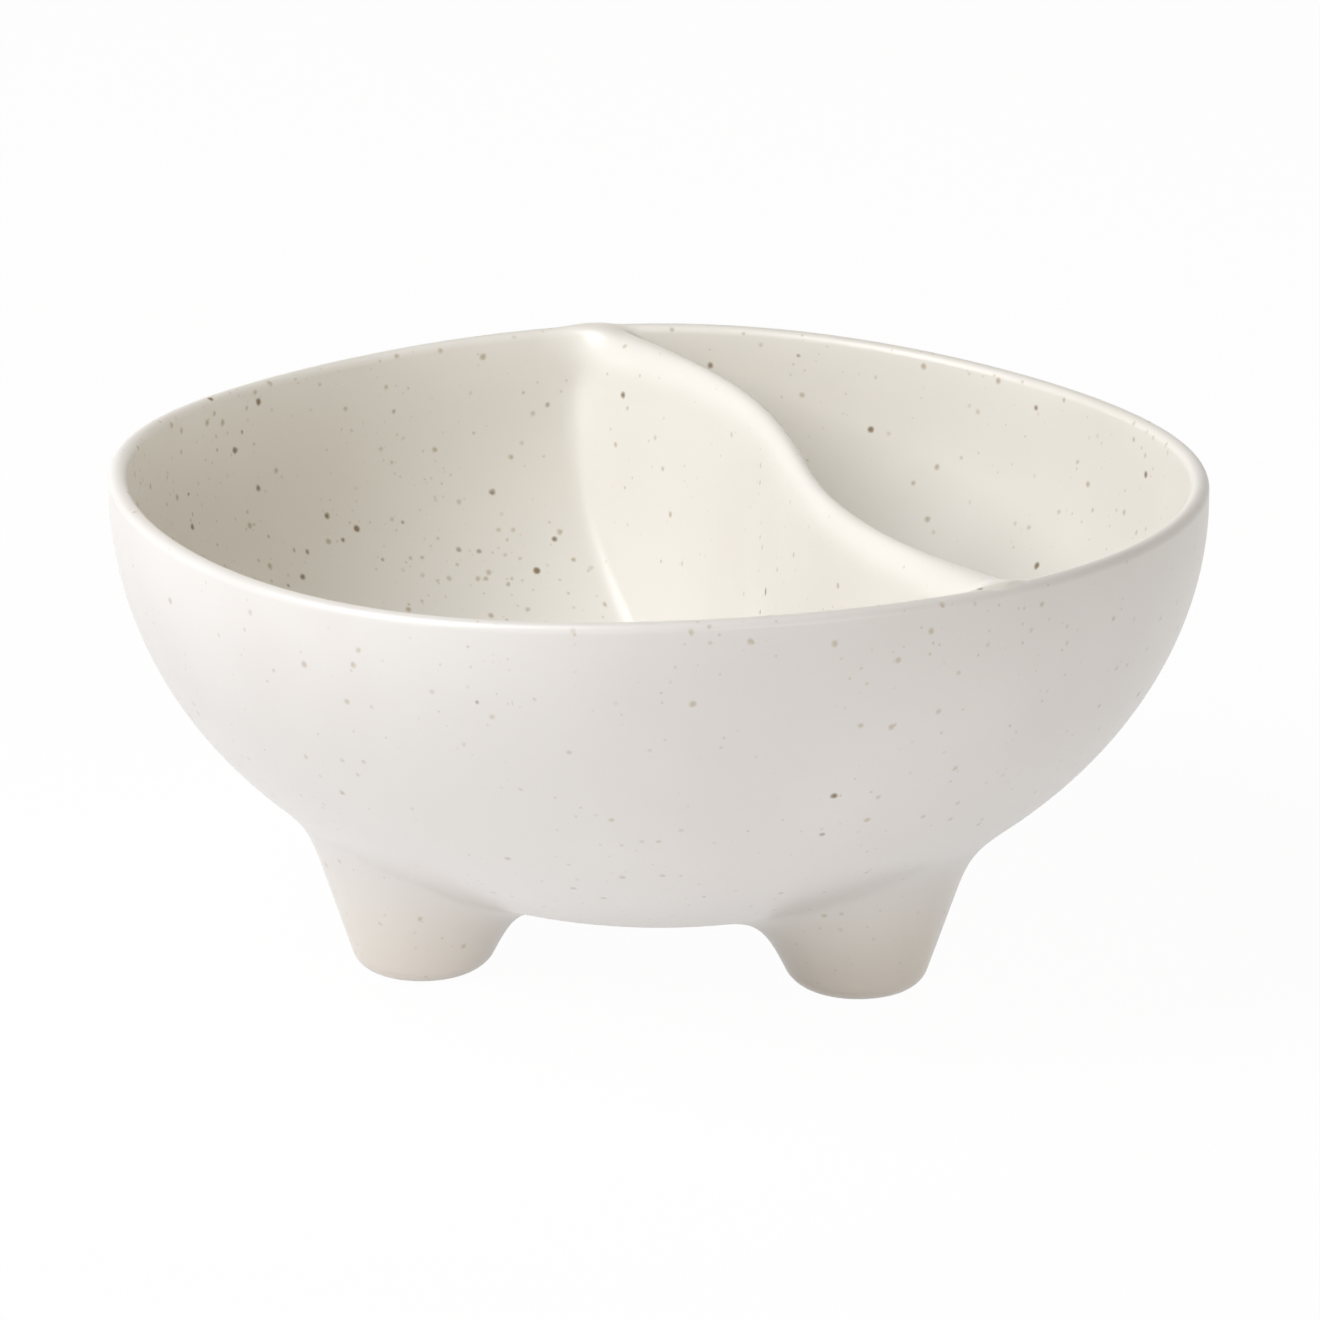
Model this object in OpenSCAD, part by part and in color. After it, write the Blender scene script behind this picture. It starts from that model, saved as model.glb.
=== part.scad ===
// Divided serving bowl: a round stoneware bowl on three flared feet. A wall that
// crosses it in an S parts it into a large and a small compartment.
// The origin is on the table under the middle of the bowl, with +Z up. The divider
// runs along Y, and the large compartment is on its -X side. Lengths are in mm.

/* [Bowl] */
// Outer diameter at the rim
bowl_d = 200; // [160:1:260]
// Height of the rim's crest above the table
bowl_h = 89.5; // [75:0.5:120]
// Thickness of the wall at the rim, which ends in a full round
wall_t = 4.4; // [3:0.1:7]
// Thickness of the floor in the middle
floor_t = 6.5; // [4.5:0.1:10]
// Room between the table and the lowest point of the belly
belly_clear = 8.5; // [7:0.5:16]
// Upright part of the wall just below the rim's round
rim_upright = 1.8; // [0.5:0.1:5]

/* [Divider] */
// Distance from the bowl's axis to the middle line of the S, over the bowl's radius
divider_offset_share = 0.268; // [0.1:0.002:0.4]
// How far the S swings to each side of its middle line
divider_swing = 7.2; // [0:0.1:12]
// Thickness just below the rounded top edge
divider_t = 5.6; // [4:0.1:9]
// Slope of each face, in degrees from upright
divider_draft = 6.2; // [1:0.1:9]
// How far the top edge lies below the rim's crest
divider_drop = 0.3; // [0.2:0.1:3]
// Radius of the cove between the divider and the bowl
divider_cove_r = 8; // [4:0.5:11]

/* [Feet] */
// Distance from the bowl's axis to the middle of each foot, over the bowl's radius
foot_ring_share = 0.45; // [0.38:0.01:0.52]
// Diameter of the flat sole
sole_d = 17; // [10:0.5:24]
// Radius of the round between the sole and the side
sole_round_r = 4.5; // [2:0.1:6]
// Slope of the side, in degrees from upright, wider towards the bowl
foot_flare = 17.5; // [5:0.5:25]
// Radius of the cove between a foot and the bowl
foot_cove_r = 7; // [3:0.5:10]

/* [Hidden] */

glaze = [0.93, 0.91, 0.87];
full_turn = 360;
half_turn = full_turn / 2;
quarter_turn = full_turn / 4;

// Facets of the turned surfaces
$fn = 144;

// The bowl's outer and inner curves are half ellipses that hang from one height
outer_r = bowl_d / 2;
inner_r = outer_r - wall_t;
spring_z = bowl_h - wall_t / 2 - rim_upright;
outer_depth = spring_z - belly_clear;
inner_depth = outer_depth - floor_t;
// Steps of each curve, from the axis out to the wall
curve_steps = 30;

// The rim's full round: its radius, and the circle that its centre runs on
rim_round_r = wall_t / 2;
crest_r = outer_r - rim_round_r;
rim_round_z = spring_z + rim_upright;

// The divider's ends run this far into the rim before they are trimmed to it
embed_share = 0.45;
embed = wall_t * embed_share;
// Angle of rim that each end is trimmed to
rim_trim_angle = 30;

// Angle that a cove turns through before it runs straight on to its seat
cove_sweep = 65;
// Steps that settle a point on the bowl's curve
seat_tries = 8;

// The divider's loft: stations along it, levels up each face, strips of its seat
divider_stations = 60;
divider_levels = 16;
divider_strips = 6;
// Levels crowd towards the cove and the rounded top
level_power = 2;
// Stations turn from square across the S to the run of the bowl's wall at its ends
skew_power = 2;

divider_offset = outer_r * divider_offset_share;
divider_top = bowl_h - divider_drop;
crown_r = divider_t / 2;
crown_z = divider_top - crown_r;
half_length = sqrt(pow(inner_r + embed, 2) - pow(divider_offset, 2));
section_count = 2 * divider_levels + divider_strips;

// The feet's loft: points round it, and steps of its sole round, cove and seat
foot_points = 48;
round_steps = 4;
cove_steps = 5;
seat_steps = 4;
foot_count = 3;
foot_azimuths = [for (k = [0 : foot_count - 1]) half_turn + k * full_turn / foot_count];
foot_ring_r = outer_r * foot_ring_share;
sole_r = sole_d / 2;
// Where the sole's round runs into the sloping side
side_r = sole_r + sole_round_r * cos(foot_flare);
side_z = sole_round_r * (1 - sin(foot_flare));

// Height of a bowl curve at a distance from the axis
function curve_z(r, radius, depth) = spring_z - depth * sqrt(max(0, 1 - pow(r / radius, 2)));

// How far a cove spreads, where its own side is still this gap away from the seat
function cove_spread(gap, radius) =
    let (turned_gap = radius * (1 - sin(cove_sweep)))
    gap >= radius ? 0
    : gap >= turned_gap ? radius - sqrt(pow(radius, 2) - pow(radius - gap, 2))
    : radius * (1 - cos(cove_sweep)) + (turned_gap - gap) * tan(cove_sweep);

// Triangles that join rings of points into a loft, with each ring closed on itself
function loft_faces(rings, count) = [
    for (j = [0 : rings - 2], k = [0 : count - 1])
        let (a = j * count + k, b = j * count + (k + 1) % count)
        each [[a, a + count, b], [b, a + count, b + count]]
];

// Direction from a point in the bowl to its wall, and the clear distance that way
function wall_pull(p) =
    [p.x / pow(inner_r, 2), p.y / pow(inner_r, 2), min(p.z - spring_z, 0) / pow(inner_depth, 2)];
function wall_normal(p) = wall_pull(p) / norm(wall_pull(p));
function wall_gap(p) =
    let (level = norm([p.x / inner_r, p.y / inner_r, min(p.z - spring_z, 0) / inner_depth]))
    (1 - level) * level / norm(wall_pull(p));

// A point moved straight to or from the wall until this gap is left
function at_gap(p, gap, tries) =
    tries == 0 ? p
    : at_gap(p + (wall_gap(p) - gap) * wall_normal(p), gap, tries - 1);

// The S, and the direction square across it, at a place along the divider
function path(y) = [divider_offset + divider_swing * sin(half_turn * y / half_length), y];
function path_across(y) =
    let (slope = divider_swing * PI / half_length * cos(half_turn * y / half_length))
    [1, -slope] / norm([1, slope]);

// The direction of a station's section, for one unit of thickness square across
function section_run(y) =
    let (across = path_across(y), place = path(y))
    let (wall_run = [abs(place.y), -sign(place.y) * place.x] / norm(place))
    let (skew = pow(abs(y) / half_length, skew_power))
    let (run = (1 - skew) * across + skew * wall_run)
    run / (run * across);

// Half the divider's thickness at a height: a round top, then drafted faces
function half_t(z) =
    z > crown_z ? sqrt(max(0, pow(crown_r, 2) - pow(z - crown_z, 2)))
    : crown_r + (crown_z - z) * tan(divider_draft);

// Height at which a face of the divider, side -1 or 1, meets the bowl
function face_foot_z(y, side, z, tries) =
    tries == 0 ? z
    : let (r = norm(path(y) + side * half_t(z) * section_run(y)))
      face_foot_z(y, side, curve_z(r, inner_r, inner_depth), tries - 1);

// Share of the cove at a height: it runs out below the rounded top
function cove_share(z) = min(1, max(0, (crown_z - z) / crown_r));

// A point of the divider's outline at a height, with the cove that spreads from it
function divider_point(y, side, z) =
    let (run = section_run(y), p = [each path(y) + side * half_t(z) * run, z])
    let (gap = wall_gap(p), normal = wall_normal(p), outward = [each run, 0])
    let (spread_to = outward - (outward * normal) * normal)
    let (spread = side * cove_share(z) * cove_spread(gap, divider_cove_r))
    spread == 0 ? p : at_gap(p + spread * spread_to / norm(spread_to), gap, seat_tries);

function level_share(t) = pow(t, level_power) / (pow(t, level_power) + pow(1 - t, level_power));

// One section: up the left face, over the top, down the right face, back along the seat
function divider_section(y) =
    let (left_z = min(crown_z, face_foot_z(y, -1, crown_z, seat_tries)))
    let (right_z = min(crown_z, face_foot_z(y, 1, crown_z, seat_tries)))
    let (left_foot = divider_point(y, -1, left_z), right_foot = divider_point(y, 1, right_z))
    let (left_gap = wall_gap(left_foot), right_gap = wall_gap(right_foot))
    [
        for (i = [0 : divider_levels])
            divider_point(y, -1, left_z + (divider_top - left_z) * level_share(i / divider_levels)),
        for (i = [divider_levels - 1 : -1 : 0])
            divider_point(y, 1, right_z + (divider_top - right_z) * level_share(i / divider_levels)),
        for (k = [1 : divider_strips - 1])
            let (share = k / divider_strips)
            let (gap = (1 - share) * right_gap + share * left_gap)
            at_gap((1 - share) * right_foot + share * left_foot, gap, seat_tries)
    ];

// Triangles that close one end of the divider, from the middle of its top edge
function end_faces(first, flip) = [
    for (k = [0 : section_count - 1])
        let (next = (k + 1) % section_count)
        if (k != divider_levels && next != divider_levels)
            let (hub = first + divider_levels, a = first + k, b = first + next)
            flip ? [hub, b, a] : [hub, a, b]
];

module divider_loft() {
    stations = [for (j = [0 : divider_stations]) -half_length * cos(half_turn * j / divider_stations)];
    polyhedron(
        points = [for (y = stations) each divider_section(y)],
        faces = [
            each loft_faces(divider_stations + 1, section_count),
            each end_faces(0, false),
            each end_faces(divider_stations * section_count, true)
        ]
    );
}

// The rim's round in section, and the rim down to just below where the wall curves in
module rim_round_section() {
    translate([crest_r, rim_round_z]) intersection() {
        circle(r = rim_round_r);
        translate([-rim_round_r, 0]) square([wall_t, rim_round_r]);
    }
}

module rim_section() {
    translate([inner_r, spring_z - rim_upright]) square([wall_t, 2 * rim_upright]);
    rim_round_section();
}

module divider_wall() {
    color(glaze) difference() {
        divider_loft();
        for (end = [-1, 1])
            rotate(end * atan2(half_length, divider_offset) - rim_trim_angle / 2)
                rotate_extrude(angle = rim_trim_angle) rim_section();
    }
}

// Distance from the bowl's axis of a point at a radius and turn about a foot's own axis
function foot_to_axis(radius, turn) = norm([foot_ring_r + radius * cos(turn), radius * sin(turn)]);
function belly_z(radius, turn) = curve_z(foot_to_axis(radius, turn), outer_r, outer_depth);

// Length of the foot's sloping side, from the sole's round up to the bowl's belly
function side_length(turn, guess, tries) =
    tries == 0 ? guess
    : let (z = belly_z(side_r + guess * sin(foot_flare), turn))
      side_length(turn, (z - side_z) / cos(foot_flare), tries - 1);

// A point of the foot's side, this far below the bowl along the slope, with its cove
function side_point(turn, length, gap, radius) =
    let (reach = side_r + length * sin(foot_flare) + cove_spread(gap, radius))
    let (r = reach - gap * sin(foot_flare))
    [r * cos(turn), r * sin(turn), belly_z(reach, turn) - gap * cos(foot_flare)];

// One upright line of the foot: round the sole's edge, up the side, through the cove
// to the bowl, and back in along the seat
function foot_line(turn) =
    let (length = side_length(turn, 0, seat_tries), radius = min(foot_cove_r, length))
    let (rim = side_point(turn, length, 0, radius), rim_r = norm([rim.x, rim.y]))
    [
        for (k = [0 : round_steps])
            let (lift = (quarter_turn - foot_flare) * k / round_steps)
            let (r = sole_r + sole_round_r * sin(lift))
            [r * cos(turn), r * sin(turn), sole_round_r * (1 - cos(lift))],
        for (k = [0 : cove_steps])
            side_point(turn, length, radius * (1 - sin(cove_sweep * k / cove_steps)), radius),
        for (k = [seat_steps : -1 : 1])
            let (r = rim_r * k / seat_steps)
            [r * cos(turn), r * sin(turn), belly_z(r, turn)]
    ];

module foot(azimuth) {
    lines = [for (k = [0 : foot_points - 1]) foot_line(full_turn * k / foot_points)];
    rings = len(lines[0]);
    sole_centre = rings * foot_points;
    seat_centre = sole_centre + 1;
    last_ring = (rings - 1) * foot_points;
    color(glaze) rotate(azimuth) translate([foot_ring_r, 0]) polyhedron(
        points = [
            for (i = [0 : rings - 1], line = lines) line[i],
            [0, 0, 0],
            [0, 0, belly_z(0, 0)]
        ],
        faces = [
            each loft_faces(rings, foot_points),
            for (k = [0 : foot_points - 1])
                let (next = (k + 1) % foot_points)
                each [[sole_centre, k, next], [seat_centre, last_ring + next, last_ring + k]]
        ]
    );
}

// Half of a bowl curve's section, filled to the axis
module curve_section(radius, depth) {
    polygon([
        [0, rim_round_z],
        for (k = [0 : curve_steps])
            let (turn = quarter_turn * k / curve_steps)
            [radius * sin(turn), spring_z - depth * cos(turn)],
        [radius, rim_round_z]
    ]);
}

module bowl_shell() {
    color(glaze) rotate_extrude() {
        difference() {
            curve_section(outer_r, outer_depth);
            curve_section(inner_r, inner_depth);
        }
        rim_round_section();
    }
}

module foot_left() {
    foot(foot_azimuths[0]);
}

module foot_front_right() {
    foot(foot_azimuths[1]);
}

module foot_back_right() {
    foot(foot_azimuths[2]);
}

bowl_shell();
divider_wall();
foot_left();
foot_front_right();
foot_back_right();
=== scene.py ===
import math

import bpy
import numpy as np
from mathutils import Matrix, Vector


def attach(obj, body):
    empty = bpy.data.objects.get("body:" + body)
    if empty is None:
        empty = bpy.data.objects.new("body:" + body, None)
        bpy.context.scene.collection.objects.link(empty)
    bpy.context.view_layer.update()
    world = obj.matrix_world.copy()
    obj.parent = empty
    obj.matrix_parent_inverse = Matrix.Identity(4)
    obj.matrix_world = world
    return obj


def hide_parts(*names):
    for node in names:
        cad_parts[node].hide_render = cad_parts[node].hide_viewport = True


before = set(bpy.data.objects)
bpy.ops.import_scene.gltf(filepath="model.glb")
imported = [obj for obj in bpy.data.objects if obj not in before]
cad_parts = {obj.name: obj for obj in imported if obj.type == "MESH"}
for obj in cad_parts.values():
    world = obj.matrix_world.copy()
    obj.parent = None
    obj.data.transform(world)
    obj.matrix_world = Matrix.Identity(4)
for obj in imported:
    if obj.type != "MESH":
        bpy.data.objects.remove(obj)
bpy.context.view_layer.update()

# Lengths are in mm until a mesh is made, and a small number keeps divisions safe
MM = 0.001
TINY = 1e-9

# Bowl: outer and inner half ellipses that hang from one height
OUTER_R, INNER_R = 100.0, 95.6
OUTER_DEPTH, INNER_DEPTH = 77.0, 70.5
SPRING_Z, RIM_TOP = 85.5, 89.5
WALL = OUTER_R - INNER_R
# Near the rim the inner wall opens outwards, by LIP at LIP_TO, and a round joins it to the outer wall
LIP, LIP_FROM, LIP_TO = 0.9, 74.0, 87.9
LIP_SLOPE = math.atan(2.0 * LIP / (LIP_TO - LIP_FROM))
RIM_R = (WALL - LIP) / (1.0 + math.cos(LIP_SLOPE))
RIM_Z, CREST_R = RIM_TOP - RIM_R, OUTER_R - RIM_R
# How many points each ring of its mesh has
BOWL_TURNS = 360

# Divider: an S across the bowl, drafted, which thickens a little where it meets the bowl's wall
DIVIDER_OFFSET, DIVIDER_SWING, HALF_LENGTH = 26.8, 7.2, 93.8
DIVIDER_TOP, DRAFT, DIVIDER_BITE = 89.2, math.radians(8.0), 2.0
END_FLARE, FLARE_FROM, FLARE_TO = 1.6, 60.0, 92.0
# Its top falls from a ridge beside the middle line, over a shoulder of (width, height) on each side
RIDGE_SHIFT, LARGE_SHOULDER, SMALL_SHOULDER = 0.6, (2.9, 6.8), (1.9, 3.0)
# Its cove at the floor, beside the rim in the large and the small compartment, and past the rim's crest
COVE_LOW, COVE_LARGE, COVE_SMALL, COVE_OUTSIDE = 4.5, 12.0, 4.0, 1.5
# The heights between which the cove grows, and how near the middle line it changes from side to side
COVE_GROWS_FROM, COVE_GROWN_AT, COVE_CHANGE = 77.0, 88.0, 3.0
# The height that its ends crest at, how softly they do, and the height from which they go through the wall
END_CREST, CREST_ROUND, THROUGH_FROM = 90.2, 2.0, 74.0

# Feet: round cones that widen towards the bowl and lean in to it, with a wider cove on the inner side
FOOT_COVE_IN, FOOT_COVE_OUT = 10.0, 6.0
SOLE_R, SOLE_ROUND, FLARE, LEAN = 9.5, 3.2, math.radians(23.0), math.radians(5.5)
# Each foot's azimuth, and how far out its sole stands
FEET = {"foot_left": (180.0, 47.1), "foot_front_right": (300.0, 45.5), "foot_back_right": (60.0, 45.5)}

# A joined piece dips this far under the bowl's skin, its skin is this thick and goes this far past its cove
TUCK, SKIN, PAST_COVE = 0.02, 2.4, 1.5

# Nets that joined pieces are drawn from: the cell, the divider's corners, a foot's reach and heights
CELL = 0.8
DIVIDER_NET = (-20.0, -101.0, 9.0), (76.0, 101.0, 93.0)
FOOT_NET_REACH, FOOT_NET_LOW, FOOT_NET_HIGH = 52.0, -1.6, 64.0
# What a dropped sliver counts as, the passes that settle a net's points, and the longest move in a pass
SLIVER_LEVEL, SETTLE_PASSES, SETTLE_MOVE = 0.1 * CELL, 4, 0.5 * CELL
# The step over which slopes are measured, and the least squared slope that counts
PROBE, LEAST_SLOPE = 0.05, 0.2

# Hand-made unevenness: waves round the bowl as (waves in a turn, height, azimuth of a crest)
SADDLE = ((2, 0.85, 81.5),)
RIM_WAVES = ((1, 0.65, 220.0), (2, 0.5, 140.0), (3, 0.8, 50.0), (4, 0.6, 70.0))
WIDE_WAVES = ((2, 0.25, -17.2), (3, 0.18, 21.0))
# The rim's even lift, and the power with which its waves grow from the middle
RIM_LIFT, RIM_POWER = 0.2, 4
# The heights between which all of it grows, and the radius within which the widening fades
UNEVEN_FROM, UNEVEN_TO, WIDE_FROM_R = 30.0, 89.0, 20.0

# Glaze: two tones outside and inside, and a warmer, darker tone that grows towards the floor: bare clay at
# the soles, and painted shade on the feet, the lower belly and the bottom of the compartments
OUTER_TONES = (0.753, 0.723, 0.706), (0.778, 0.753, 0.736)
INNER_TONES = (0.832, 0.806, 0.757), (0.856, 0.832, 0.787)
BARE_CLAY_AND_SHADE_TONE, BARE_CLAY_AND_SHADE_SHARE, BARE_CLAY_AND_SHADE_TOP = (0.70, 0.63, 0.545), 0.55, 30.0
TONE_SIZE, TONE_EDGES = 45.0, (0.35, 0.65)
# The inner glaze gives way to the outer one at the crest, between two levels of a curve amid the wall
MIDDLE_DEPTH, INNER_TO, OUTER_FROM = 72.5, 0.985, 1.015
ROUGHNESS, IOR = 0.32, 1.5
RIPPLE_SIZE, RIPPLE_STRENGTH, RIPPLE_DEPTH = 9.0, 0.12, 1.0

# Iron specks: how many there are on each surface, and how near the divider they change from side to side
OUTER_SPECKS, LARGE_SPECKS, SMALL_SPECKS = 0.55, 1.3, 0.55
DIVIDER_SPECKS, FOOT_SPECKS, SPECK_CHANGE = 0.38, 0.5, 4.0
# The noise that gathers them in loose clusters
CLUSTER_SIZE, CLUSTER_EDGES, CLUSTER_SHARES = 26.0, (0.38, 0.62), (0.35, 1.0)
# The noise that bends their outlines: its scale per metre, and how far it pushes, in metres
BEND_SCALE, BEND_PUSH = 700.0, 0.0005
# Fine, middle and bold specks: pairs of shares and strengths are for outside and inside
SPECKS = (
    dict(cell=1.9, shares=(0.75, 0.75), radii=(0.2, 0.42), soft=0.3,
         strengths=(0.4, 0.4), colour=(0.45, 0.34, 0.19)),
    dict(cell=3.0, shares=(0.62, 0.62), radii=(0.45, 0.85), soft=0.55,
         strengths=(0.45, 0.6), colour=(0.37, 0.27, 0.125)),
    dict(cell=5.0, shares=(0.12, 0.62), radii=(0.5, 0.95), soft=0.5,
         strengths=(0.9, 0.9), colour=(0.21, 0.133, 0.052)),
)

# Camera: its azimuth in plan, its rise, and the point it looks at, right of the axis and above the floor
CAMERA_AZIMUTH, CAMERA_RISE, CAMERA_DISTANCE = math.radians(247.5), math.radians(17.45), 1500.0
AIM_RIGHT, AIM_Z = 0.07, 53.0
FOCAL_PX, IMAGE_PX, SENSOR = 8166.0, 1320.0, 36.0
CLIP_M = 0.05, 20.0

# Studio, in metres and watts: the sky fades with height, and what the camera sees near the horizon is white
WHITE, SKY_COLOUR = (1.0, 1.0, 1.0), (1.0, 0.85, 0.58)
SKY_LEVEL, ZENITH_LEVEL, SKY_FADE, BACKDROP_FADE = 0.69, 0.05, (0.26, 0.8), (0.25, 0.4)
FLOOR_HALF_M, FLOOR_COLOUR, FLOOR_ROUGHNESS, FLOOR_WHITE = 4.0, (0.92, 0.92, 0.92), 0.9, 0.97
# Lamps stand at this distance from a point at this height over the floor, and face it
LAMP_DISTANCE_M, LAMP_AIM_M = 1.1, 0.05
LAMPS = (
    dict(name="key", azimuth=-158.0, elevation=50.0, size=(0.68, 0.95),
         power=11.8, colour=(0.98, 1.0, 1.03)),
    dict(name="fill", azimuth=-60.0, elevation=3.0, size=(0.8, 0.2),
         power=2.0, colour=(0.99, 1.0, 1.02)),
)


def smooth_step(low, high, value):
    t = np.clip((value - low) / (high - low), 0.0, 1.0)
    return t * t * (3.0 - 2.0 * t)


def smooth_min(a, b, k):
    """The lesser of two distances, with a round cove of about k where they are alike."""
    h = np.maximum(k - np.abs(a - b), 0.0) / k
    return np.minimum(a, b) - h ** 3 * k / 6.0


def level(x, y, z, radius, depth):
    """1 on a half ellipsoid that hangs from the bowl's spring height, less within it and more outside."""
    low = np.minimum(z - SPRING_Z, 0.0)
    return np.sqrt((x / radius) ** 2 + (y / radius) ** 2 + (low / depth) ** 2)


def lip(z):
    """How far the inner wall has opened at a height."""
    return LIP * np.clip((z - LIP_FROM) / (LIP_TO - LIP_FROM), 0.0, 1.0) ** 2


def bowl_profile(curve_steps, round_steps):
    """(radius, height) points from the belly's middle, over the rim, to the floor's middle."""
    turn = np.linspace(0.0, math.pi / 2, curve_steps + 1)
    outer = np.column_stack([OUTER_R * np.sin(turn), SPRING_Z - OUTER_DEPTH * np.cos(turn)])
    inner = np.column_stack([INNER_R * np.sin(turn), SPRING_Z - INNER_DEPTH * np.cos(turn)])
    inner[:, 0] += lip(inner[:, 1])
    over = np.linspace(0.0, math.pi - LIP_SLOPE, round_steps + 1)
    rim = np.column_stack([CREST_R + RIM_R * np.cos(over), RIM_Z + RIM_R * np.sin(over)])
    return np.vstack([outer, rim, inner[::-1]])


class BowlDistance:
    """Signed distance to the bowl's wall, kept on a grid of its section: below 0 in the clay."""

    step, far, bottom, top = 0.5, 116.0, -2.0, 104.0

    def __init__(self):
        line = bowl_profile(curve_steps=160, round_steps=24)
        self.r = np.arange(0.0, self.far, self.step)
        self.z = np.arange(self.bottom, self.top, self.step)
        r, z = np.meshgrid(self.r, self.z, indexing="ij")
        nearest = np.full(r.shape, np.inf)
        for (r0, z0), (r1, z1) in zip(line[:-1], line[1:]):
            dr, dz = r1 - r0, z1 - z0
            along = np.clip(((r - r0) * dr + (z - z0) * dz) / (dr ** 2 + dz ** 2 + TINY), 0.0, 1.0)
            nearest = np.minimum(nearest, (r - r0 - along * dr) ** 2 + (z - z0 - along * dz) ** 2)
        in_outer = level(r, 0.0, z, OUTER_R, OUTER_DEPTH) < 1.0
        in_inner = level(r - lip(z), 0.0, z, INNER_R, INNER_DEPTH) < 1.0
        in_round = np.hypot(r - CREST_R, z - RIM_Z) < RIM_R
        clay = (in_outer & ~in_inner & (z < RIM_Z)) | (in_round & (z >= RIM_Z))
        self.value = np.where(clay, -1.0, 1.0) * np.sqrt(nearest)

    def __call__(self, x, y, z):
        u = np.clip(np.hypot(x, y) / self.step, 0.0, len(self.r) - 1 - TINY)
        v = np.clip((z - self.bottom) / self.step, 0.0, len(self.z) - 1 - TINY)
        i, j = u.astype(int), v.astype(int)
        s, t = u - i, v - j
        g = self.value
        return ((1 - s) * ((1 - t) * g[i, j] + t * g[i, j + 1])
                + s * ((1 - t) * g[i + 1, j] + t * g[i + 1, j + 1]))


bowl_distance = BowlDistance()


def past_inner_wall(x, y, z):
    """How far a point lies outside the bowl's inner curve, about."""
    return (level(x, y, z, INNER_R, INNER_DEPTH) - 1.0) * INNER_R


def across_divider(x, y):
    """Distance from the divider's middle line, below 0 in the large compartment."""
    turn = math.pi * y / HALF_LENGTH
    slope = DIVIDER_SWING * math.pi / HALF_LENGTH * np.cos(turn)
    return (x - DIVIDER_OFFSET - DIVIDER_SWING * np.sin(turn)) / np.sqrt(1.0 + slope ** 2)


def divider_distance(x, y, z):
    """Distance to the divider alone, without its coves."""
    q = across_divider(x, y) - RIDGE_SHIFT
    wide, tall = (np.where(q < 0.0, a, b) for a, b in zip(LARGE_SHOULDER, SMALL_SHOULDER))
    wide = wide + END_FLARE * smooth_step(FLARE_FROM, FLARE_TO, np.abs(y))
    rise = z - (DIVIDER_TOP - tall)
    side = np.abs(q) + (rise - tall) * math.tan(DRAFT)
    k = np.hypot(side / wide, rise / tall)
    shoulder = k * (k - 1.0) / (np.hypot(side / wide ** 2, rise / tall ** 2) + TINY)
    d = np.where(rise > 0.0, shoulder, side - wide) * math.cos(DRAFT)
    return np.maximum(d, past_inner_wall(x, y, z) - DIVIDER_BITE)


def divider_field(x, y, z):
    """The divider with its coves, and what trims it under the bowl's skin."""
    own, bowl, past = divider_distance(x, y, z), bowl_distance(x, y, z), past_inner_wall(x, y, z)
    small = smooth_step(-COVE_CHANGE, COVE_CHANGE, across_divider(x, y))
    beside = COVE_LARGE + (COVE_SMALL - COVE_LARGE) * small
    inner_cove = COVE_LOW + (beside - COVE_LOW) * smooth_step(COVE_GROWS_FROM, COVE_GROWN_AT, z)
    cove = inner_cove + (COVE_OUTSIDE - inner_cove) * smooth_step(0.5 * WALL, WALL, past)
    joined = -smooth_min(-smooth_min(own, bowl + TUCK, cove), END_CREST - z, CREST_ROUND)
    trim = np.minimum(past - SKIN, THROUGH_FROM - z)
    return joined, np.maximum(trim, own - inner_cove - PAST_COVE)


def foot_distance(x, y, z):
    """Distance to a foot alone, round the middle of its own section."""
    q = np.hypot(x, y)
    side_r = SOLE_R + SOLE_ROUND / math.cos(FLARE) - SOLE_ROUND * math.tan(FLARE)
    side = (q - side_r) * math.cos(FLARE) - z * math.sin(FLARE) + SOLE_ROUND
    sole = SOLE_ROUND - z
    return (np.hypot(np.maximum(side, 0.0), np.maximum(sole, 0.0))
            + np.minimum(np.maximum(side, sole), 0.0) - SOLE_ROUND)


def foot_field(azimuth, reach):
    """A foot with its cove and what trims it under the bowl's skin, as a field, and its sole's middle."""
    ux, uy = math.cos(math.radians(azimuth)), math.sin(math.radians(azimuth))

    def field(x, y, z):
        middle = reach - z * math.tan(LEAN)
        own, bowl = foot_distance(x - middle * ux, y - middle * uy, z), bowl_distance(x, y, z)
        outward = smooth_step(-SOLE_R, SOLE_R, x * ux + y * uy - middle)
        cove = FOOT_COVE_IN + (FOOT_COVE_OUT - FOOT_COVE_IN) * outward
        trim = (1.0 - level(x, y, z, OUTER_R, OUTER_DEPTH)) * OUTER_DEPTH - SKIN
        return smooth_min(own, bowl + TUCK, cove), np.maximum(trim, own - cove - PAST_COVE)

    return field, (reach * ux, reach * uy)


def field_slope(field, points):
    """How the first part of a field changes along X, Y and Z."""
    steps = PROBE * np.eye(3)
    rises = [field(*(points + step).T)[0] - field(*(points - step).T)[0] for step in steps]
    return np.column_stack(rises) / (2.0 * PROBE)


def settle(field, points):
    """Points moved onto the first part of a field, where the second part doesn't trim it."""
    for _ in range(SETTLE_PASSES):
        shape, trim = field(*points.T)
        slope = field_slope(field, points)
        move = -shape[:, None] * slope / np.maximum((slope ** 2).sum(1), LEAST_SLOPE)[:, None]
        far = np.linalg.norm(move, axis=1)
        move *= np.minimum(1.0, SETTLE_MOVE / np.maximum(far, TINY))[:, None]
        points = points + np.where((shape > trim)[:, None], move, 0.0)
    return points


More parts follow.
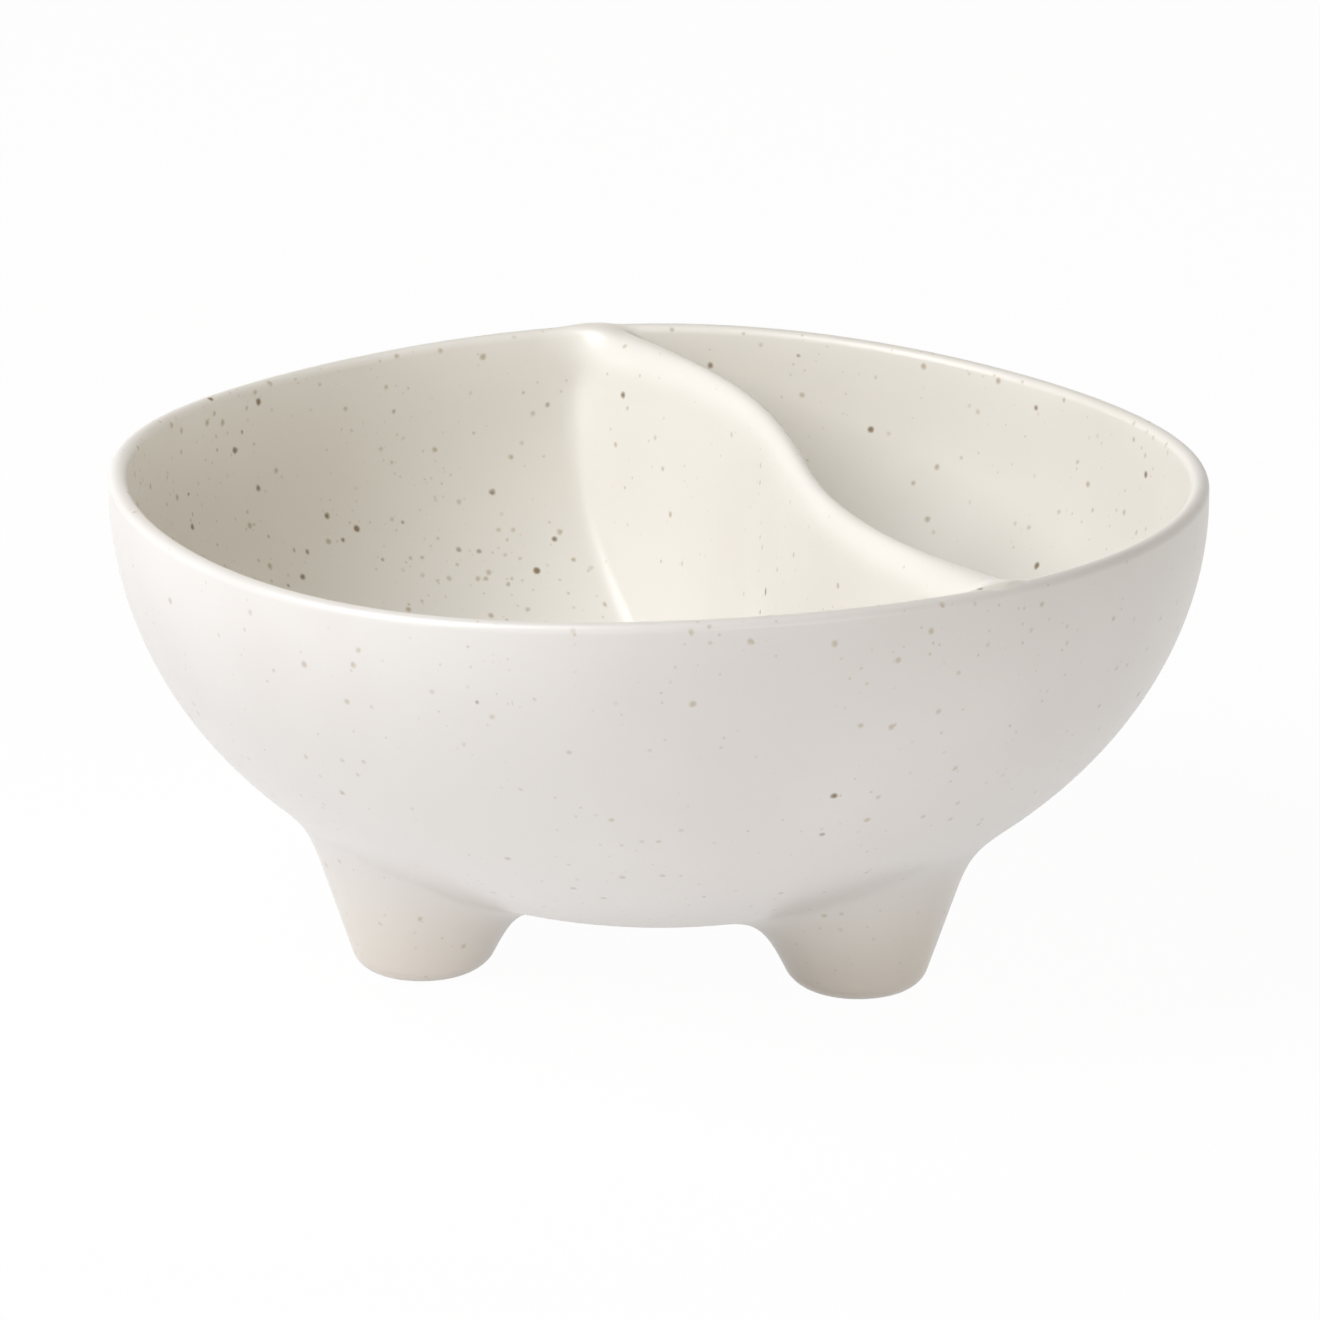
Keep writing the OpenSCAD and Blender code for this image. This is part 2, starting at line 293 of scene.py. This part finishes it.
def surface_net(field, low, high):
    """Points, quads and normals of a closed mesh, where both parts of a field are below 0."""
    axes = [np.arange(a, b + CELL, CELL) for a, b in zip(low, high)]
    value = np.maximum(*field(*np.meshgrid(*axes, indexing="ij")))
    size = [n - 1 for n in value.shape]
    corners = [tuple(slice(c, c + n) for c, n in zip(corner, size)) for corner in np.ndindex(2, 2, 2)]
    # Only whole cells count as inside, because a sliver leaves edges with more than two faces
    whole = np.all([value[corner] < 0.0 for corner in corners], axis=0)
    inside = np.zeros(value.shape, bool)
    for corner in corners:
        inside[corner] |= whole
    value = np.where(inside, value, np.maximum(value, SLIVER_LEVEL))
    count = np.sum([inside[corner] for corner in corners], axis=0)
    used = (count > 0) & (count < len(corners))
    index = np.full(size, -1, np.int64)
    index[used] = np.arange(used.sum())
    total = np.zeros((int(used.sum()), 3))
    hits = np.zeros(len(total))
    step = np.eye(3, dtype=int)
    quads = []
    for axis in range(3):
        side, up = (axis + 1) % 3, (axis + 2) % 3
        lower = tuple(slice(0, -1) if k == axis else slice(None) for k in range(3))
        upper = tuple(slice(1, None) if k == axis else slice(None) for k in range(3))
        place = np.argwhere(inside[lower] != inside[upper])
        a, b = value[tuple(place.T)], value[tuple((place + step[axis]).T)]
        point = np.column_stack([axes[k][place[:, k]] for k in range(3)])
        point[:, axis] += CELL * a / (a - b)
        ring = [place - step[side] - step[up], place - step[up], place, place - step[side]]
        ids = [index[tuple(p.T)] for p in ring]
        for cell_id in ids:
            np.add.at(total, cell_id, point)
            np.add.at(hits, cell_id, 1.0)
        quad = np.column_stack(ids)
        quads.append(np.where((a < 0.0)[:, None], quad, quad[:, ::-1]))
    points = settle(field, total / hits[:, None])
    slope = field_slope(field, points)
    return points, np.vstack(quads).tolist(), slope / np.linalg.norm(slope, axis=1)[:, None]


def turned(pairs, turns):
    """(radius, height) pairs turned about the Z axis, ring after ring."""
    turn = 2.0 * math.pi * np.arange(turns) / turns
    r, z = pairs[:, :1], pairs[:, 1:]
    rings = np.stack([r * np.cos(turn), r * np.sin(turn), np.broadcast_to(z, (len(pairs), turns))], -1)
    return rings.reshape(-1, 3)


def bowl_grid(turns):
    """Points, faces and normals of the bowl: rings of quads, with a fan at each of its two middles."""
    line = bowl_profile(curve_steps=110, round_steps=16)[1:-1]
    middles = [[0.0, 0.0, SPRING_Z - OUTER_DEPTH], [0.0, 0.0, SPRING_Z - INNER_DEPTH]]
    points = np.vstack([turned(line, turns), middles])
    k, n = np.arange(turns), (np.arange(turns) + 1) % turns
    starts = turns * np.arange(len(line))
    quads = [np.column_stack([a + k, a + n, b + n, b + k]) for a, b in zip(starts[:-1], starts[1:])]
    belly, floor, last = len(line) * turns, len(line) * turns + 1, int(starts[-1])
    faces = np.vstack(quads).tolist()
    faces += [(belly, int(b), int(a)) for a, b in zip(k, n)]
    faces += [(floor, last + int(a), last + int(b)) for a, b in zip(k, n)]
    along = np.gradient(line, axis=0)
    out = np.column_stack([along[:, 1], -along[:, 0]]) / np.linalg.norm(along, axis=1)[:, None]
    normals = np.vstack([turned(out, turns), [[0.0, 0.0, -1.0], [0.0, 0.0, 1.0]]])
    return points, faces, normals


def wave_height(waves, turn):
    return sum(height * np.cos(count * (turn - math.radians(crest))) for count, height, crest in waves)


def hand_made(points):
    """The slight unevenness of a hand-finished pot, which grows towards the rim."""
    x, y, z = points.T
    turn, r = np.arctan2(y, x), np.hypot(x, y)
    high = smooth_step(UNEVEN_FROM, UNEVEN_TO, z)
    rim = RIM_LIFT + wave_height(RIM_WAVES, turn)
    lift = wave_height(SADDLE, turn) + rim * (r / CREST_R) ** RIM_POWER
    out = 1.0 + high * wave_height(WIDE_WAVES, turn) / np.maximum(r, WIDE_FROM_R)
    return np.column_stack([x * out, y * out, z + high * lift])


def hand_made_normals(points, normals):
    """Normals as hand_made leaves them."""
    steps = PROBE * np.eye(3)
    stretch = np.stack([hand_made(points + step) - hand_made(points - step) for step in steps], axis=1)
    turned_normals = np.linalg.solve(stretch / (2.0 * PROBE), normals[:, :, None])[:, :, 0]
    return turned_normals / np.linalg.norm(turned_normals, axis=1)[:, None]


def make_piece(name, node, points, faces, normals, inside, specks):
    """A glazed piece: inside, from 0 to 1 at each point, sets its tone, and specks how speckled it is."""
    mesh = bpy.data.meshes.new(name)
    mesh.from_pydata((hand_made(points) * MM).tolist(), [], faces)
    mesh.validate()
    for key, value in (("inside", inside), ("specks", specks)):
        spread = np.broadcast_to(value, len(points)).astype(np.float32)
        mesh.attributes.new(key, "FLOAT", "POINT").data.foreach_set("value", spread)
    mesh.shade_smooth()
    mesh.normals_split_custom_set_from_vertices(hand_made_normals(points, normals).tolist())
    mesh.materials.append(glaze)
    piece = bpy.data.objects.new(name, mesh)
    bpy.context.scene.collection.objects.link(piece)
    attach(piece, "root")
    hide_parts(node)


def make_bowl():
    points, faces, normals = bowl_grid(BOWL_TURNS)
    x, y, z = points.T
    inside = smooth_step(OUTER_FROM, INNER_TO, level(x, y, z, CREST_R, MIDDLE_DEPTH))
    small = smooth_step(-SPECK_CHANGE, SPECK_CHANGE, across_divider(x, y))
    inner_specks = LARGE_SPECKS + (SMALL_SPECKS - LARGE_SPECKS) * small
    specks = OUTER_SPECKS + inside * (inner_specks - OUTER_SPECKS)
    make_piece("glazed_bowl", "bowl_shell", points, faces, normals, inside, specks)


def make_divider():
    points, faces, normals = surface_net(divider_field, *DIVIDER_NET)
    make_piece("glazed_divider", "divider_wall", points, faces, normals, 1.0, DIVIDER_SPECKS)


def make_feet():
    for node, (azimuth, reach) in FEET.items():
        field, (x, y) = foot_field(azimuth, reach)
        low = x - FOOT_NET_REACH, y - FOOT_NET_REACH, FOOT_NET_LOW
        high = x + FOOT_NET_REACH, y + FOOT_NET_REACH, FOOT_NET_HIGH
        points, faces, normals = surface_net(field, low, high)
        make_piece("glazed_" + node, node, points, faces, normals, 0.0, FOOT_SPECKS)


class NodeKit:
    """Short ways to add the nodes that the materials and the world share."""

    def __init__(self, owner):
        owner.use_nodes = True
        self.nodes, self.links = owner.node_tree.nodes, owner.node_tree.links

    def add(self, kind, **settings):
        node = self.nodes.new("ShaderNode" + kind)
        for name, value in settings.items():
            setattr(node, name, value)
        return node

    def feed(self, socket, value):
        """Links an output to an input, or sets the input to a number or a colour."""
        if isinstance(value, bpy.types.NodeSocket):
            self.links.new(value, socket)
        else:
            socket.default_value = (*value, 1.0) if isinstance(value, tuple) else value

    def math(self, operation, a, b, clamp=False):
        node = self.add("Math", operation=operation, use_clamp=clamp)
        self.feed(node.inputs[0], a)
        self.feed(node.inputs[1], b)
        return node.outputs[0]

    def ramp(self, value, edges, levels=(0.0, 1.0)):
        """A smooth step from the first level to the second between two edges."""
        node = self.add("MapRange", interpolation_type="SMOOTHSTEP")
        keys = "Value", "From Min", "From Max", "To Min", "To Max"
        for key, number in zip(keys, (value, *edges, *levels)):
            self.feed(node.inputs[key], number)
        return node.outputs["Result"]

    def mix(self, share, a, b, data_type="RGBA"):
        node = self.add("Mix", data_type=data_type)
        for key, value in zip(("Factor", "A", "B"), (share, a, b)):
            self.feed(node.inputs[key], value)
        return node.outputs["Result"]

    def noise(self, place, scale, detail=2.0):
        node = self.add("TexNoise")
        for key, value in zip(("Vector", "Scale", "Detail"), (place, scale, detail)):
            self.feed(node.inputs[key], value)
        return node

    def height(self, place):
        node = self.add("SeparateXYZ")
        self.feed(node.inputs[0], place)
        return node.outputs["Z"]

    def attribute(self, name):
        return self.add("Attribute", attribute_name=name).outputs["Fac"]

    def seen_directly(self):
        """1 for what the camera, a reflection or a clear piece looks at, 0 for light on the scene."""
        rays = self.add("LightPath").outputs
        clear = self.math("MAXIMUM", rays["Is Glossy Ray"], rays["Is Transmission Ray"])
        return self.math("MAXIMUM", rays["Is Camera Ray"], clear)


def soft_specks(kit, place, share, cell, radii, soft):
    """Soft specks of random size in a share of the cells of a 3-D pattern."""
    push = kit.add("VectorMath", operation="MULTIPLY_ADD")
    kit.feed(push.inputs[0], kit.noise(place, BEND_SCALE).outputs["Color"])
    push.inputs[1].default_value = (BEND_PUSH, BEND_PUSH, BEND_PUSH)
    kit.feed(push.inputs[2], place)
    cells = kit.add("TexVoronoi")
    kit.feed(cells.inputs["Vector"], push.outputs[0])
    kit.feed(cells.inputs["Scale"], 1.0 / (cell * MM))
    chance = kit.add("SeparateColor")
    kit.feed(chance.inputs[0], cells.outputs["Color"])
    radius = kit.ramp(chance.outputs[1], (0.0, 1.0), [r / cell for r in radii])
    edge = kit.math("SUBTRACT", radius, cells.outputs["Distance"])
    body = kit.math("MULTIPLY", edge, cell / soft, clamp=True)
    chosen = kit.math("LESS_THAN", chance.outputs[0], share)
    return kit.math("MULTIPLY", body, chosen)


def glaze_material():
    """Speckled glaze: warm white outside, creamier inside, warmer and darker towards the floor, which is
    partly bare clay and partly painted shade, over slight ripples.
    """
    material = bpy.data.materials.new("speckled_glaze")
    kit = NodeKit(material)
    shader = kit.nodes["Principled BSDF"]
    shader.inputs["Roughness"].default_value = ROUGHNESS
    shader.inputs["IOR"].default_value = IOR
    place = kit.add("TexCoord").outputs["Object"]
    inside = kit.attribute("inside")

    def noise(size, detail=2.0):
        return kit.noise(place, 1.0 / (size * MM), detail).outputs["Fac"]

    tone = kit.ramp(noise(TONE_SIZE), TONE_EDGES)
    colour = kit.mix(inside, kit.mix(tone, *OUTER_TONES), kit.mix(tone, *INNER_TONES))
    # Partly bare clay at the soles and partly painted shade: the colour turns warmer and darker towards the
    # floor, over the feet, the lower belly and the bottom of the compartments
    clay = kit.ramp(kit.height(place), (0.0, BARE_CLAY_AND_SHADE_TOP * MM), (BARE_CLAY_AND_SHADE_SHARE, 0.0))
    colour = kit.mix(clay, colour, BARE_CLAY_AND_SHADE_TONE)
    clusters = kit.ramp(noise(CLUSTER_SIZE, detail=1.0), CLUSTER_EDGES, CLUSTER_SHARES)
    density = kit.math("MULTIPLY", clusters, kit.attribute("specks"))
    for kind in SPECKS:
        share = kit.math("MULTIPLY", kit.ramp(inside, (0.0, 1.0), kind["shares"]), density)
        specks = soft_specks(kit, place, share, kind["cell"], kind["radii"], kind["soft"])
        strength = kit.ramp(inside, (0.0, 1.0), kind["strengths"])
        colour = kit.mix(kit.math("MULTIPLY", specks, strength), colour, kind["colour"])
    kit.feed(shader.inputs["Base Color"], colour)

    bump = kit.add("Bump")
    bump.inputs["Strength"].default_value = RIPPLE_STRENGTH
    bump.inputs["Distance"].default_value = RIPPLE_DEPTH * MM
    kit.feed(bump.inputs["Height"], noise(RIPPLE_SIZE))
    kit.feed(shader.inputs["Normal"], bump.outputs["Normal"])
    return material


def direction(azimuth, rise):
    return Vector((math.cos(azimuth) * math.cos(rise), math.sin(azimuth) * math.cos(rise), math.sin(rise)))


def make_camera():
    out = direction(CAMERA_AZIMUTH, CAMERA_RISE)
    right = Vector((-math.sin(CAMERA_AZIMUTH), math.cos(CAMERA_AZIMUTH), 0.0))
    target = right * AIM_RIGHT + Vector((0.0, 0.0, AIM_Z))
    data = bpy.data.cameras.new("camera")
    data.sensor_width = SENSOR
    data.lens = SENSOR * FOCAL_PX / IMAGE_PX
    data.clip_start, data.clip_end = CLIP_M
    camera = bpy.data.objects.new("camera", data)
    camera.location = (target + out * CAMERA_DISTANCE) * MM
    camera.rotation_euler = (-out).to_track_quat("-Z", "Y").to_euler()
    bpy.context.scene.collection.objects.link(camera)
    bpy.context.scene.camera = camera


def make_lamp(name, azimuth, elevation, size, power, colour):
    """A soft box that faces the bowl, at an azimuth counted from the photograph's right."""
    spot = direction(CAMERA_AZIMUTH + math.radians(90.0 + azimuth), math.radians(elevation))
    lamp = bpy.data.lights.new(name, "AREA")
    lamp.shape = "RECTANGLE"
    lamp.size, lamp.size_y = size
    lamp.energy = power
    lamp.color = colour
    box = bpy.data.objects.new(name, lamp)
    box.location = spot * LAMP_DISTANCE_M + Vector((0.0, 0.0, LAMP_AIM_M))
    box.rotation_euler = (-spot).to_track_quat("-Z", "Y").to_euler()
    bpy.context.scene.collection.objects.link(box)


def make_sky():
    """A sky that lights from the sides more than from above, behind a white backdrop."""
    world = bpy.data.worlds.new("studio")
    bpy.context.scene.world = world
    kit = NodeKit(world)
    up = kit.height(kit.add("TexCoord").outputs["Generated"])
    sky = kit.ramp(up, SKY_FADE, (SKY_LEVEL, ZENITH_LEVEL))
    backdrop = kit.ramp(up, BACKDROP_FADE, (1.0, 0.0))
    shown = kit.math("MULTIPLY", kit.seen_directly(), backdrop)
    background = kit.nodes["Background"]
    kit.feed(background.inputs["Strength"], kit.mix(shown, sky, 1.0, "FLOAT"))
    kit.feed(background.inputs["Color"], kit.mix(backdrop, SKY_COLOUR, WHITE))


def make_floor():
    """A pale floor that looks almost white and keeps the bowl's shadow."""
    material = bpy.data.materials.new("pale_floor")
    kit = NodeKit(material)
    shader = kit.nodes["Principled BSDF"]
    shader.inputs["Base Color"].default_value = (*FLOOR_COLOUR, 1.0)
    shader.inputs["Roughness"].default_value = FLOOR_ROUGHNESS
    shader.inputs["Specular IOR Level"].default_value = 0.0
    white_share = kit.math("MULTIPLY", kit.seen_directly(), FLOOR_WHITE)
    white = kit.add("Emission")
    blend = kit.add("MixShader")
    for socket, value in zip(blend.inputs, (white_share, shader.outputs[0], white.outputs[0])):
        kit.feed(socket, value)
    kit.feed(kit.nodes["Material Output"].inputs["Surface"], blend.outputs[0])

    signs = (-1.0, -1.0), (1.0, -1.0), (1.0, 1.0), (-1.0, 1.0)
    mesh = bpy.data.meshes.new("floor")
    mesh.from_pydata([(x * FLOOR_HALF_M, y * FLOOR_HALF_M, 0.0) for x, y in signs], [], [(0, 1, 2, 3)])
    mesh.materials.append(material)
    floor = bpy.data.objects.new("floor", mesh)
    bpy.context.scene.collection.objects.link(floor)


bpy.context.scene.view_settings.view_transform = "Standard"
make_camera()
make_sky()
make_floor()
for lamp in LAMPS:
    make_lamp(**lamp)

glaze = glaze_material()
make_bowl()
make_divider()
make_feet()
